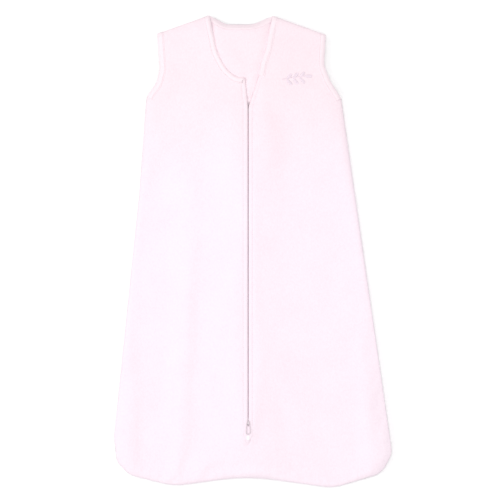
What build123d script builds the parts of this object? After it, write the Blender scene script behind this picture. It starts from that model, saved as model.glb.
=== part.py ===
from build123d import *
import os

# Baby sleeping bag: a sleeveless, A-line wearable blanket of micro-fleece, laid flat on its back.
#
# Frame: millimetres, +Z up out of the front of the bag, +Y towards the neck, +X towards the right
# of somebody who looks at the front. The floor is z = 0, and the origin is the middle of the footprint.
# The zip closes downwards: its slider rests at the foot end, and its retainer box is at the neck.

# ---------------------------------------------------------------- driving dimensions
FLEECE = 2.4  # thickness of one layer of fleece
LOFT = 20.0  # height of the front panel's upper face over the floor
SEAM_Z = 6.0  # height of the seam that joins front to back
TOP_ROLL = 10.0  # radius with which the front rolls down to the seam
FLOOR_ROLL = 3.6  # radius of the back panel's upturned rim
BINDING = 8.0  # width of the neck and armhole bindings
PROUD = 0.6  # how far a binding stands proud of the fleece on each side
ALLOWANCE = 6.0  # width of the overlocked seam allowance inside the bag
ALLOWANCE_THICK = 1.4
EDGE_Z = FLOOR_ROLL + PROUD  # height of the back panel's edge where nothing closes it
ARMHOLE_TOP = 12.0  # height of the front's edge at the armholes

# Outlines are lists of corners, each with x, y and the radius that rounds it.
NECK_L, NECK_R = (-61.0, 327.3, 0), (29.0, 326.5, 0)  # where a shoulder seam meets the neck
TIP_L, TIP_R = (-132.0, 302.0, 0), (101.5, 300.5, 0)  # outer ends of the shoulder seams
UNDERARM_L, UNDERARM_R = (-148.0, 212.0, 20), (124.0, 210.0, 20)
BACK_NECK = [(-38.0, 313.5, 25), (2.0, 313.2, 40)]
ARMHOLE_L = [(-128.3, 252.0, 25), (-133.0, 233.0, 25)]
ARMHOLE_R = [(99.0, 258.0, 25), (108.0, 235.0, 25)]
SIDE_L = [(-157.5, 81.0, 500), (-193.0, -260.0, 60)]
HEM = [
    (-189.5, -295.0, 20),
    (-172.0, -314.0, 30),
    (-110.0, -329.5, 90),
    (-8.0, -315.5, 300),
    (112.0, -332.0, 60),
    (180.0, -312.0, 30),
    (195.0, -284.0, 25),
]

# The front neckline has a loose corner on each side of the zip: the left one stands upright, and
# the right one lies open.
CORNER_L, CORNER_R = (-10.4, 239.5, 3), (9.1, 242.3, 4)
NECKLINE_L = [(-22.0, 238.5, 15), (-38.0, 252.0, 40), (-50.0, 275.0, 60)]
NECKLINE_R = [(12.5, 260.0, 20), (19.5, 281.0, 40), (23.5, 303.0, 50)]

# The zip, on the line x = ZIP_X.
ZIP_X = -6.0
SLIT_HALF = 1.1  # half the gap between the folded fleece edges
SLIT_FOOT, SLIT_HEAD = -259.0, 199.0
TAPE_FOOT, TAPE_THICK = -262.0, 0.55
TAPE_IN, TAPE_OUT = 0.8, 14.0  # near and far edge of one tape, from the zip's line
COIL_IN, COIL_OUT, COIL_HIGH = 0.75, 2.25, 1.3
STITCH_OUT, THREAD = 6.4, 0.7  # distance of the topstitching from the zip's line, and its width
STITCH_POINT_Y, STITCH_GAP = -271.0, 1.0  # the two rows of stitches end here, this far apart
FACING_IN = 4.4  # the fleece turned under along the zip starts here
CLEAR = 0.3  # play of the slider in its tunnel, and of the ring in the slider's crown
BOX_LONG, BOX_HALF = 8.5, 3.0  # the retainer box
STOP_LONG = 2.9

# The slider, at rest at the foot of the zip, and its ring.
SLIDER_FOOT, SLIDER_LONG = -242.5, 9.6
SLIDER_FOOT_HALF, SLIDER_HEAD_HALF = 3.8, 3.3
PLATE = 0.8
FLANGE = 0.7
CROWN_HALF, CROWN_LONG = 0.8, 5.2
WIRE_R = 0.55
RING_Y = SLIDER_FOOT + 2.0
RING = [(1.9, 0, 1.2), (2.7, -9.0, 8), (2.7, -14.9, 2.3)]  # one half, from its hinge line

# Heights in the zip's stack, from the fleece down.
FLEECE_UNDER = LOFT - FLEECE
PLATE_TOP = FLEECE_UNDER - CLEAR
COIL_TOP = PLATE_TOP - PLATE - 0.25
TAPE_TOP = COIL_TOP - COIL_HIGH
TAPE_UNDER = TAPE_TOP - TAPE_THICK
SLIDER_UNDER = TAPE_UNDER - CLEAR - PLATE
RING_Z = LOFT + 0.2 + WIRE_R  # the ring lies on the fleece

# The upright corner folds outwards along the line between the first two points.
FOLD = [(-6.0, 200.6, 0), (-40.0, 258.9, 0), (-6.0, 258.9, 0)]
FOLD_GAP = 0.3  # how far each side keeps from the fold

CREST = (60.5, 241.5)  # middle of the embroidered sprig on the chest

LEFT, RIGHT = -1, 1
FAR = 700.0  # larger than the bag


# ---------------------------------------------------------------- helpers
def across(side, near, far):
    """The range of x between two distances from the zip's line, on one side of it."""
    ends = (ZIP_X + side * near, ZIP_X + side * far)
    return min(ends), max(ends)


def block(x, y, z):
    """A box from its ranges along the three axes."""
    size = [high - low for low, high in (x, y, z)]
    middle = [(low + high) / 2 for low, high in (x, y, z)]
    return Pos(*middle) * Box(*size)


def rounded(corners):
    """A flat face from its corners, each rounded with its own radius."""
    face = make_face(Polyline([(x, y) for x, y, _ in corners], close=True))
    for x, y, radius in corners:
        if radius:
            face = fillet(face.vertices().sort_by_distance((x, y, 0))[0], radius)
    return face


def window(x, y):
    """A flat rectangle from its ranges along x and y."""
    return Pos((x[0] + x[1]) / 2, (y[0] + y[1]) / 2) * Rectangle(x[1] - x[0], y[1] - y[0])


def prism(face, low=0.0, high=LOFT + 5):
    """A flat face raised into a solid between two heights."""
    return Pos(0, 0, low) * extrude(face, amount=high - low, dir=(0, 0, 1))


def grown(face, amount):
    """A face with its edge moved outwards, or inwards if the amount is negative."""
    return offset(face, amount=amount, kind=Kind.INTERSECTION)


def thread(points, low=LOFT, high=LOFT + 0.4):
    """A row of stitches along a line of points."""
    return prism(trace(Polyline(points), line_width=THREAD), low, high)


# ---------------------------------------------------------------- flat shapes
def outline():
    """The bag's silhouette."""
    left = [*SIDE_L[::-1], UNDERARM_L, *ARMHOLE_L[::-1], TIP_L]
    right = [TIP_R, *ARMHOLE_R, UNDERARM_R]
    return rounded([NECK_L, *BACK_NECK, NECK_R, *right, *HEM[::-1], *left])


def neck_hole():
    """What the front leaves open at the neck, from past the outline down to the zip's head."""
    foot = [(ZIP_X + SLIT_HALF, SLIT_HEAD, 0), (ZIP_X - SLIT_HALF, SLIT_HEAD, 0)]
    above = [(NECK_L[0] - 1.5, 360.0, 0), (NECK_R[0] + 1.5, 360.0, 0)]
    right = [NECK_R, *NECKLINE_R[::-1], CORNER_R]
    return rounded([*foot, CORNER_L, *NECKLINE_L, NECK_L, *above, *right])


def slit():
    """The slit that the zip closes."""
    return window(across(RIGHT, -SLIT_HALF, SLIT_HALF), (SLIT_FOOT, SLIT_HEAD + 1))


def past_neckline():
    """The region past the front neckline, from corner to corner."""
    above = [(NECK_L[0] - 1.5, 360.0, 0), (NECK_R[0] + 1.5, 360.0, 0)]
    right = [NECK_R, *NECKLINE_R[::-1], CORNER_R]
    return rounded([(*CORNER_L[:2], 0), *NECKLINE_L, NECK_L, *above, *right[:-1], (*CORNER_R[:2], 0)])


def past_back_neck():
    """The region past the back neckline."""
    above = [(NECK_R[0] + 1.5, 360.0, 0), (NECK_L[0] - 1.5, 360.0, 0)]
    return rounded([NECK_L, *BACK_NECK, NECK_R, *above])


def past_armhole(side):
    """The region past the edge of one armhole."""
    tip, bend, underarm = (TIP_L, ARMHOLE_L, UNDERARM_L) if side == LEFT else (TIP_R, ARMHOLE_R, UNDERARM_R)
    far = side * FAR
    return rounded([tip, *bend, (*underarm[:2], 0), (far, underarm[1], 0), (far, tip[1], 0)])


def armhole_gap(side):
    """The stretch of rim that an armhole leaves open."""
    tip, underarm = (TIP_L, UNDERARM_L) if side == LEFT else (TIP_R, UNDERARM_R)
    rows = window((-FAR, FAR), (underarm[1] + 7, tip[1] - 7))
    return grown(past_armhole(side), FLEECE + 2 * PROUD + 0.5) & rows


# ---------------------------------------------------------------- the shell
def pillow(grow):
    """The solid that the bag fills, with every face moved out by grow."""
    face = grown(outline(), grow) if grow else outline()
    body = prism(face, -grow, LOFT + grow)
    body = fillet(body.edges().group_by(Axis.Z)[-1], TOP_ROLL + grow)
    return fillet(body.edges().group_by(Axis.Z)[0], FLOOR_ROLL + grow)


def openings():
    """Everything that the neck, the armholes and the zip's slit cut out of the shell."""
    gaps = [prism(armhole_gap(side), EDGE_Z, ARMHOLE_TOP) for side in (LEFT, RIGHT)]
    return [prism(neck_hole(), EDGE_Z), prism(slit(), SEAM_Z), *gaps]


def binding_zones():
    """Where the neck's and the armholes' bindings take the place of the fleece."""
    neck = prism(grown(past_neckline(), BINDING), SEAM_Z) + prism(
        grown(past_back_neck(), BINDING), 0, SEAM_Z
    )
    return neck, *[prism(grown(past_armhole(side), BINDING)) for side in (LEFT, RIGHT)]


SHELL = pillow(0) - pillow(-FLEECE)
THICK = (pillow(PROUD) - pillow(-FLEECE - PROUD)) & prism(window((-FAR, FAR), (-FAR, FAR)))
OPENINGS = openings()
NECK_ZONE, ARM_ZONE_L, ARM_ZONE_R = binding_zones()
PANELS = SHELL - OPENINGS - [NECK_ZONE, ARM_ZONE_L, ARM_ZONE_R]
NECK_BAND = (THICK & NECK_ZONE) - OPENINGS
FLAP_CUT = prism(grown(rounded(FOLD), FOLD_GAP), SEAM_Z)
FLAP = prism(grown(rounded(FOLD), -FOLD_GAP), SEAM_Z)


# ---------------------------------------------------------------- fleece and bindings
def front_panel():
    """The front, in one piece, with the fleece turned under along both edges of the slit."""
    panel = (PANELS & prism(window((-FAR, FAR), (-FAR, FAR)), SEAM_Z)) - FLAP_CUT
    rows, under = (TAPE_FOOT, SLIT_HEAD), (TAPE_TOP, FLEECE_UNDER)
    return panel + [block(across(side, FACING_IN, TAPE_OUT), rows, under) for side in (LEFT, RIGHT)]


def back_panel():
    """The back, with its rim turned up to the seam."""
    return PANELS & prism(window((-FAR, FAR), (-FAR, FAR)), 0, SEAM_Z)


def neck_corner():
    """The loose corner of fleece above the zip, on the left."""
    return PANELS & FLAP


def neck_corner_binding():
    """The end of the neck's binding, on the loose corner."""
    return NECK_BAND & FLAP


def neck_binding():
    """The rest of the neck's binding, all the way round to the right corner."""
    return NECK_BAND - FLAP_CUT


def armhole_binding(zone):
    """The binding round one armhole."""
    return (THICK & zone) - OPENINGS


# ---------------------------------------------------------------- seams and stitches
def allowance(rows, columns=(-FAR, FAR)):
    """The overlocked edges of front and back, inside the bag, within a range of y and x."""
    strip = grown(outline(), -FLEECE) - grown(outline(), -FLEECE - ALLOWANCE)
    half = ALLOWANCE_THICK / 2
    return prism(strip & window(columns, rows), SEAM_Z - half, SEAM_Z + half)


def side_seam(side):
    """The seam from the underarm to the hem."""
    return allowance((-250.0, 198.0), (-FAR, 0) if side == LEFT else (0, FAR))


def hem_seam():
    """The seam along the hem, from side to side."""
    return allowance((-FAR, -250.0))


def shoulder_seam(columns):
    """The seam from the armhole's binding to the neck's."""
    return allowance((292.0, FAR), columns)


def topstitch(side):
    """The row of stitches along one edge of the slit, which turns in to the point below the zip."""
    x = ZIP_X + side * STITCH_OUT
    top = (-13.1, 210.6) if side == LEFT else (10.2, 231.0)
    foot = (ZIP_X + side * STITCH_GAP / 2, STITCH_POINT_Y)
    return thread([foot, (x, SLIT_FOOT + 2), (x, SLIT_HEAD), top])


def neck_corner_stitch():
    """The row of stitches along the loose corner's edge."""
    return thread([(-13.5, 215.0), (-14.9, 230.6)])


def chest_sprig():
    """An embroidered sprig: a stem with leaves in pairs and one at its tip."""
    x, y = CREST
    stem = trace(Polyline((x - 20, y - 4), (x - 4, y), (x + 12, y + 1)), line_width=1.0)
    leaves = [Pos(x + 17, y + 1) * Rot(0, 0, 2) * Ellipse(6, 2.4)]
    for along in (-13, -4, 5):
        for turn in (LEFT, RIGHT):
            lean = Pos(x + along, y - 2 + along * 0.15) * Rot(0, 0, turn * 48)
            leaves.append(lean * Pos(5.2, 0) * Ellipse(5.4, 2.2))
    return prism(stem + leaves, LOFT, LOFT + 0.5)


# ---------------------------------------------------------------- the zip
def zip_tape(side):
    """One woven tape, narrowed beside the retainer box."""
    rows = (TAPE_FOOT, SLIT_HEAD)
    beside = BOX_HALF if side == RIGHT else BOX_HALF + CLEAR
    tape = block(across(side, TAPE_IN, TAPE_OUT), rows, (TAPE_UNDER, TAPE_TOP))
    box_rows = (SLIT_HEAD - BOX_LONG - CLEAR, SLIT_HEAD)
    return tape - block(across(side, TAPE_IN, beside), box_rows, (TAPE_UNDER, TAPE_TOP))


def zip_coil(side):
    """One coil of the chain, sewn on its tape."""
    rows = (SLIDER_FOOT - 0.6, SLIT_HEAD - BOX_LONG - CLEAR)
    return block(across(side, COIL_IN, COIL_OUT), rows, (TAPE_TOP, COIL_TOP))


def zip_stop(side):
    """The stop at the foot of one coil."""
    rows = (SLIDER_FOOT - 0.6 - STOP_LONG, SLIDER_FOOT - 0.6)
    return block(across(side, COIL_IN, COIL_OUT + 0.3), rows, (TAPE_TOP, COIL_TOP + 0.3))


def zip_box():
    """The retainer box, on the right tape, with the socket for the pin."""
    rows = (SLIT_HEAD - BOX_LONG, SLIT_HEAD)
    body = block(across(RIGHT, -BOX_HALF, BOX_HALF), rows, (TAPE_UNDER - 0.5, COIL_TOP + 0.5))
    body = fillet(body.edges().filter_by(Axis.Z), 0.8)
    socket = block(across(LEFT, 0.5, 2.4), (rows[0] - 1, rows[1] - 1), (TAPE_TOP - 0.2, COIL_TOP))
    return body - socket


def zip_pin():
    """The pin on the end of the left coil, in the box's socket."""
    rows = (SLIT_HEAD - BOX_LONG - CLEAR, SLIT_HEAD - 1.6)
    return block(across(LEFT, 0.8, 2.1), rows, (TAPE_TOP + 0.1, COIL_TOP - 0.3))


def zip_end_tab():
    """The little patch that covers the foot of the slit."""
    patch = window(across(RIGHT, -2.2, 2.2), (-263.5, -257.2))
    return prism(fillet(patch.vertices(), 1.0), LOFT, LOFT + 0.6)


# ---------------------------------------------------------------- the slider
def slider_plan():
    """The slider's outline from above: wider at the end where the coils part."""
    head = SLIDER_FOOT + SLIDER_LONG
    feet = [(ZIP_X + side * SLIDER_FOOT_HALF, SLIDER_FOOT, 0.9) for side in (LEFT, RIGHT)]
    heads = [(ZIP_X + side * SLIDER_HEAD_HALF, head, 0.9) for side in (RIGHT, LEFT)]
    return rounded([*feet, *heads])


def flanges(plan):
    """The rims that hold the coils from outside, under the upper plate."""
    rim = plan - grown(plan, -FLANGE)
    sides = [across(side, COIL_OUT + 0.25, TAPE_OUT) for side in (LEFT, RIGHT)]
    rows = (SLIDER_FOOT, SLIDER_FOOT + SLIDER_LONG)
    return [prism(rim & window(x, rows), TAPE_TOP + CLEAR, PLATE_TOP - PLATE) for x in sides]


def diamond():
    """The post between the plates, which parts the coils."""
    half, y = 0.45, SLIDER_FOOT
    plan = Polyline((ZIP_X - half, y), (ZIP_X, y + 3.6), (ZIP_X + half, y), close=True)
    return prism(make_face(plan), SLIDER_UNDER, PLATE_TOP)


def crown():
    """The arch on the upper plate that holds the ring."""
    top = RING_Z + WIRE_R + CLEAR + 0.6
    rows = (RING_Y - 1.7, RING_Y - 1.7 + CROWN_LONG)
    arch = block(across(RIGHT, -CROWN_HALF, CROWN_HALF), rows, (PLATE_TOP - 0.1, top))
    ends = arch.edges().filter_by(Axis.X).group_by(Axis.Z)[-1]
    hole = Pos(ZIP_X, RING_Y, RING_Z) * Rot(0, 90, 0) * Cylinder(WIRE_R + CLEAR, 4)
    return fillet(ends, 1.1) - hole


def slider_body():
    """The slider: two plates, the post between them, the flanges and the crown."""
    plan = slider_plan()
    upper = prism(plan, PLATE_TOP - PLATE, PLATE_TOP)
    lower = prism(plan, SLIDER_UNDER, SLIDER_UNDER + PLATE)
    return upper + [lower, *flanges(plan), diamond(), crown()]


def pull_ring():
    """The oval wire ring, which lies on the fleece and points to the hem."""
    half = [(ZIP_X + x, RING_Y + y, radius) for x, y, radius in RING]
    other = [(2 * ZIP_X - x, y, radius) for x, y, radius in half[::-1]]
    path = (Pos(0, 0, RING_Z) * rounded([*half, *other])).face().outer_wire()
    section = Plane(origin=path @ 0, z_dir=path % 0) * Circle(WIRE_R)
    return sweep(section, path=path)


# ---------------------------------------------------------------- the assembly
def parts():
    """Every piece, by the name of its node."""
    pieces = {
        "front_panel": front_panel(),
        "back_panel": back_panel(),
        "neck_corner": neck_corner(),
        "neck_binding": neck_binding(),
        "neck_corner_binding": neck_corner_binding(),
        "armhole_binding_left": armhole_binding(ARM_ZONE_L),
        "armhole_binding_right": armhole_binding(ARM_ZONE_R),
        "hem_seam": hem_seam(),
        "shoulder_seam_left": shoulder_seam((TIP_L[0] + 11.5, NECK_L[0] - 9.5)),
        "shoulder_seam_right": shoulder_seam((NECK_R[0] + 9.5, TIP_R[0] - 11.5)),
        "neck_corner_stitch": neck_corner_stitch(),
        "chest_sprig": chest_sprig(),
        "zip_box": zip_box(),
        "zip_pin": zip_pin(),
        "zip_end_tab": zip_end_tab(),
        "slider_body": slider_body(),
        "pull_ring": pull_ring(),
    }
    for side, name in ((LEFT, "left"), (RIGHT, "right")):
        pieces[f"side_seam_{name}"] = side_seam(side)
        pieces[f"topstitch_{name}"] = topstitch(side)
        pieces[f"zip_tape_{name}"] = zip_tape(side)
        pieces[f"zip_coil_{name}"] = zip_coil(side)
        pieces[f"zip_stop_{name}"] = zip_stop(side)
    return pieces


os.makedirs("parts", exist_ok=True)
for node, piece in parts().items():
    piece.label = node
    export_step(piece, f"parts/{node}.step")
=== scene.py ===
"""Baby sleeping bag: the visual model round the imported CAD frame. Lengths here are in millimetres, and
become metres when a mesh is made. Heights are measured from the floor that the bag lies on."""
import math

import bmesh
import bpy
import numpy as np
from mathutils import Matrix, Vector, geometry, kdtree, noise


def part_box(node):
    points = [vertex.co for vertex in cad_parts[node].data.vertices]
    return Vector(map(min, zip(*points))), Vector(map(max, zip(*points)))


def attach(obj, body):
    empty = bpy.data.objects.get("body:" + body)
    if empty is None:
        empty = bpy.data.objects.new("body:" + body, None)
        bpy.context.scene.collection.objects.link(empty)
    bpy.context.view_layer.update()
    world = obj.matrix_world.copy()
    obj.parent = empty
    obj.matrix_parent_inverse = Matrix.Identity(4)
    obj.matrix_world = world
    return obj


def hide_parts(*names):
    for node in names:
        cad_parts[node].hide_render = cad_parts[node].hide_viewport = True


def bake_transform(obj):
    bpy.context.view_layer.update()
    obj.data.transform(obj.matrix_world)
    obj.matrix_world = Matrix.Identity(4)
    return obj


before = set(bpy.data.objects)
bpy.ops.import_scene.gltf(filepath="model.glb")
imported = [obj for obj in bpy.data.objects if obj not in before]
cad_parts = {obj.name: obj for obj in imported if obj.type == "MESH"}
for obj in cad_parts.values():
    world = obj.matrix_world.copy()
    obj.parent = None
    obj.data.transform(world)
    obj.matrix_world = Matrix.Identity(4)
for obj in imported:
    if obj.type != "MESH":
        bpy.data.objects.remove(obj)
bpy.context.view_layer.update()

MM = 0.001
LEFT, RIGHT = -1, 1
SIDES = ((LEFT, "left"), (RIGHT, "right"))


def mm_box(node):
    """A CAD node's box in millimetres, as (low, high)."""
    low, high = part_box(node)
    return np.array(low) / MM, np.array(high) / MM


# ---- sizes that follow the CAD
FRONT_LOW, FRONT_HIGH = mm_box("front_panel")
TAPE_HIGH = mm_box("zip_tape_left")[1]
TAPE_RIGHT_LOW = mm_box("zip_tape_right")[0]
COIL_LOW, COIL_HIGH = mm_box("zip_coil_left")
LOFT = FRONT_HIGH[2]  # the front's upper face beside the zip
SEAM_Z = FRONT_LOW[2]
LAYER_GAP = 0.7  # the least between the back and what is over it
UNDER_ZIP = mm_box("slider_body")[0][2] - LAYER_GAP  # the back stays below the slider's path
ZIP_X = (TAPE_HIGH[0] + TAPE_RIGHT_LOW[0]) / 2
SLIT_HEAD, SLIT_FOOT = TAPE_HIGH[1], -259.0
FLEECE = 2.2  # thickness
BAG_WIDE, BAG_LONG = 200, 340  # half sizes of a box that holds the outline

# Corners of the outline, each with the radius that rounds it, as in the CAD.
NECK_L, NECK_R = (-61.0, 327.3, 0), (29.0, 326.5, 0)
TIP_L, TIP_R = (-132.0, 302.0, 0), (101.5, 300.5, 0)
UNDERARM_L, UNDERARM_R = (-148.0, 212.0, 20), (124.0, 210.0, 20)
BACK_NECK = [(-38.0, 313.5, 25), (2.0, 313.2, 40)]
ARMHOLE_L = [(-128.3, 252.0, 25), (-133.0, 233.0, 25)]
ARMHOLE_R = [(99.0, 258.0, 25), (108.0, 235.0, 25)]
SIDE_L = [(-157.5, 81.0, 500), (-193.0, -260.0, 60)]
HEM = [
    (-189.5, -295.0, 20), (-172.0, -314.0, 30), (-110.0, -329.5, 90),
    (-8.0, -315.5, 300), (112.0, -332.0, 60), (180.0, -312.0, 30),
    (195.0, -284.0, 25),
]
CORNER_L, CORNER_R = (-10.4, 239.5, 3), (9.1, 242.3, 4)
NECKLINE_L = [(-22.0, 238.5, 15), (-38.0, 252.0, 40), (-50.0, 275.0, 60)]
NECKLINE_R = [(12.5, 260.0, 20), (19.5, 281.0, 40), (23.5, 303.0, 50)]

FOLD_FOOT, FOLD_HEAD = np.array((-6.0, 200.6)), np.array((-40.0, 258.9))
FOLD_DIR = (FOLD_HEAD - FOLD_FOOT) / np.linalg.norm(FOLD_HEAD - FOLD_FOOT)
FOLD_OUT = np.array((FOLD_DIR[1], -FOLD_DIR[0]))  # from the panel towards the loose corner


# ---- plane geometry
def unit(vector):
    return vector / np.linalg.norm(vector)


def away(points, place):
    """Distances of points from a place, of which only X and Y count."""
    return np.linalg.norm(points - np.array(place[:2]), axis=1)


def lengths_of(line):
    """Lengths of a line's steps."""
    return np.linalg.norm(np.diff(line, axis=0), axis=1)


def sample_line(a, b, step):
    """Points from a to b, without b, about a step apart."""
    count = max(1, int(round(np.linalg.norm(b - a) / step)))
    return [a + (b - a) * i / count for i in range(count)]


def arc_of(here, to_last, to_next, radius, step):
    """Points that round a corner between the directions to the corners beside it."""
    u, v = unit(to_last), unit(to_next)
    half = math.acos(float(u @ v)) / 2
    middle = here + unit(u + v) * radius / math.sin(half)
    a, b = (here + w * radius / math.tan(half) - middle for w in (u, v))
    turn = math.pi - 2 * half
    steps = max(2, int(radius * turn / step) + 1)
    shares = [k / steps for k in range(steps + 1)]
    return [
        middle + (a * math.sin((1 - t) * turn) + b * math.sin(t * turn)) / math.sin(turn) for t in shares
    ]


def rounded(corners, closed=True, step=2.6):
    """Points along a polygon whose corners are rounded."""
    points = [np.array(c[:2], float) for c in corners]
    count = len(points)
    arcs = []
    for i, (here, corner) in enumerate(zip(points, corners)):
        sharp = corner[2] == 0 or (not closed and i in (0, count - 1))
        to_last, to_next = points[i - 1] - here, points[(i + 1) % count] - here
        arcs.append([here] if sharp else arc_of(here, to_last, to_next, corner[2], step))
    line = []
    for i, arc in enumerate(arcs[: None if closed else -1]):
        line += arc[:-1] + sample_line(arc[-1], arcs[(i + 1) % count][0], step)
    return np.array(line if closed else line + arcs[-1])


def normals_of(line, closed=False):
    """Unit normals to the left of a line's direction."""
    if closed:
        along = np.roll(line, -1, 0) - np.roll(line, 1, 0)
    else:
        along = np.gradient(line, axis=0)
    along /= np.linalg.norm(along, axis=1)[:, None]
    return np.stack([-along[:, 1], along[:, 0]], 1)


def inside(points, polygon):
    """Which points lie inside a polygon."""
    x, y = points[:, 0], points[:, 1]
    result = np.zeros(len(points), bool)
    for (ax, ay), (bx, by) in zip(polygon, np.roll(polygon, -1, 0)):
        if ay != by:
            spans = (ay > y) != (by > y)
            result ^= spans & (x < (bx - ax) * (y - ay) / (by - ay) + ax)
    return result


def nearest_index(line, corner):
    """Index of a line's point nearest to a corner."""
    return int(np.argmin(away(line, corner)))


def tree_of(points):
    """A search tree of points in the plane."""
    tree = kdtree.KDTree(len(points))
    for i, p in enumerate(points):
        tree.insert((*p, 0), i)
    tree.balance()
    return tree


class Nearest:
    """Finds the nearest point of a line."""

    STEP = 0.5

    def __init__(self, line, closed=False):
        ends = list(zip(line, np.roll(line, -1, 0)))[: None if closed else -1]
        self.points = np.array([p for a, b in ends for p in sample_line(a, b, self.STEP)] + [line[-1]])
        self.tree = tree_of(self.points)
        self.long = float(lengths_of(line).sum())

    def __call__(self, points):
        """Distances to the line, and places along it from 0 to 1."""
        found = [self.tree.find((*p, 0)) for p in points]
        share = np.array([f[1] for f in found]) / len(self.points)
        return np.array([f[2] for f in found]), share


def to_segment(points, a, b):
    """Distances from points to a segment, and the share along it."""
    a, b = np.array(a, float), np.array(b, float)
    along = b - a
    t = np.clip((points - a) @ along / (along @ along), 0, 1)
    return np.linalg.norm(points - a - t[:, None] * along, axis=1), t


def smooth(x, low, high):
    """0 below low, 1 above high, and a smooth rise between."""
    t = np.clip((x - low) / (high - low), 0, 1)
    return t * t * (3 - 2 * t)


def ripple(points, wave, seed=0.0):
    """Smooth noise from -1 to 1 with features of about a wave's length."""
    return np.array([noise.noise((p[0] / wave, p[1] / wave, seed)) for p in points])


# ---- the pattern's lines
LOOP_LEFT = [*SIDE_L[::-1], UNDERARM_L, *ARMHOLE_L[::-1], TIP_L]
LOOP_RIGHT = [TIP_R, *ARMHOLE_R, UNDERARM_R]
OUTLINE = rounded([NECK_L, *BACK_NECK, NECK_R, *LOOP_RIGHT, *HEM[::-1], *LOOP_LEFT])[::-1]
NEAR_OUTLINE = Nearest(OUTLINE, closed=True)
OUTLINE_IN = normals_of(OUTLINE, closed=True)  # into the cloth

SLIT_HALF, SHUT_HALF = 0.35, 0.22  # half the slit's width, and where its edges have come together
CLOSE_FROM, CLOSE_TO = -241.6, -244.2  # where they come together, below the coils
SLIT_TURN = [(SLIT_HALF, SLIT_HEAD), (SLIT_HALF, CLOSE_FROM), (SHUT_HALF, CLOSE_TO)]
SLIT_L = [(ZIP_X - half, y, bend) for (half, y), bend in zip(SLIT_TURN, (6, 2, 0.1))]
SLIT_R = [(ZIP_X + half, y, bend) for (half, y), bend in zip(SLIT_TURN[::-1], (0.1, 2, 20))]
# The front's inner edge, down the left of the slit and up the right, and what it leaves open.
DOWN_LEFT, UP_RIGHT = [NECK_L, *NECKLINE_L[::-1], CORNER_L], [CORNER_R, *NECKLINE_R, NECK_R]
EDGE = rounded([*DOWN_LEFT, *SLIT_L, *SLIT_R, *UP_RIGHT], closed=False)
ABOVE_NECK, PAST_NECK = 360.0, 1.5
HOLE = np.vstack([EDGE, [(NECK_R[0] + PAST_NECK, ABOVE_NECK)], [(NECK_L[0] - PAST_NECK, ABOVE_NECK)]])
NEAR_EDGE = Nearest(EDGE)
EDGE_IN = -normals_of(EDGE)  # into the cloth
ON_FRONT = ~inside(OUTLINE, HOLE)  # which of the outline's points the front has too

STITCH_OUT, STITCH_FOOT = 6.4, -271.0
STITCH_LINES = []
for side, bend, top in ((LEFT, 6, (-15.0, 228.6, 0)), (RIGHT, 20, (13.4, 241.0, 0))):
    foot = (ZIP_X + side * 0.5, STITCH_FOOT, 0)
    beside = [(ZIP_X + side * STITCH_OUT, SLIT_FOOT + 2, 4), (ZIP_X + side * STITCH_OUT, SLIT_HEAD, bend)]
    STITCH_LINES.append(rounded([foot, *beside, top], closed=False, step=1.0))
NEAR_STITCH = [Nearest(line) for line in STITCH_LINES]


def from_rim(points):
    return NEAR_OUTLINE(points)[0]


def from_edge(points):
    return NEAR_EDGE(points)[0]


def on_front(points):
    return inside(points, OUTLINE) & ~inside(points, HOLE)


def outline_order(first, last):
    """Indices of the outline's points from one corner to another."""
    a, b = nearest_index(OUTLINE, first), nearest_index(OUTLINE, last)
    return np.arange(a, b + 1) if a <= b else np.r_[a : len(OUTLINE), 0 : b + 1]


def open_share():
    """How open the outline is along its dense line: 1 at the armholes and back neck, 0 at seams."""
    points = NEAR_OUTLINE.points
    share = np.zeros(len(points))
    for a, b in ((UNDERARM_R, TIP_R), (NECK_R, NECK_L), (TIP_L, UNDERARM_L)):
        on_it = Nearest(OUTLINE[outline_order(a, b)])(points)[0] < 0.6
        share = np.maximum(share, on_it * smooth(np.minimum(away(points, a), away(points, b)), 1.0, 9.0))
    return share


OPEN = open_share()


def rim(points, distance=None):
    """Distance to the outline, unless it is given, how open it is there, and the place along it."""
    found, place = NEAR_OUTLINE(points)
    is_open = OPEN[np.minimum((place * len(OPEN)).astype(int), len(OPEN) - 1)]
    return (found if distance is None else distance), is_open, place


# ---- meshes
def new_mesh(name, vertices, faces, material=None):
    """A smoothly shaded object from points in millimetres."""
    mesh = bpy.data.meshes.new(name)
    mesh.from_pydata((np.asarray(vertices, float) * MM).tolist(), [], faces)
    mesh.validate()
    obj = bpy.data.objects.new(name, mesh)
    bpy.context.scene.collection.objects.link(obj)
    mesh.polygons.foreach_set("use_smooth", [True] * len(mesh.polygons))
    if material:
        mesh.materials.append(material)
    return obj


def triangles_of(points, edges, keep):
    """Triangles between points that hold the edges, where keep says the middles are wanted."""
    found = geometry.delaunay_2d_cdt([Vector(p) for p in points], edges, [], 0, 1e-4, True)
    vertices = np.array([(v.x, v.y) for v in found[0]])
    faces = np.array([list(f) for f in found[2] if len(f) == 3])
    source = np.array([ids[0] if ids else -1 for ids in found[3]])
    return vertices, faces[keep(vertices[faces].mean(1))], source


def hex_grid(step):
    """A grid of points over the whole bag."""
    rows = np.arange(-BAG_LONG, BAG_LONG, step * 0.866)
    columns = np.arange(-BAG_WIDE, BAG_WIDE, step)
    return np.array([(x + (k % 2) * step / 2, y) for k, y in enumerate(rows) for x in columns])


def face_outwards(obj, up=None):
    """Turns a closed mesh's faces out, or all faces of an open one up or down."""
    made = bmesh.new()
    made.from_mesh(obj.data)
    bmesh.ops.recalc_face_normals(made, faces=made.faces)
    if up is not None and (sum(f.normal.z * f.calc_area() for f in made.faces) > 0) != up:
        bmesh.ops.reverse_faces(made, faces=made.faces)
    made.to_mesh(obj.data)
    made.free()


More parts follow.
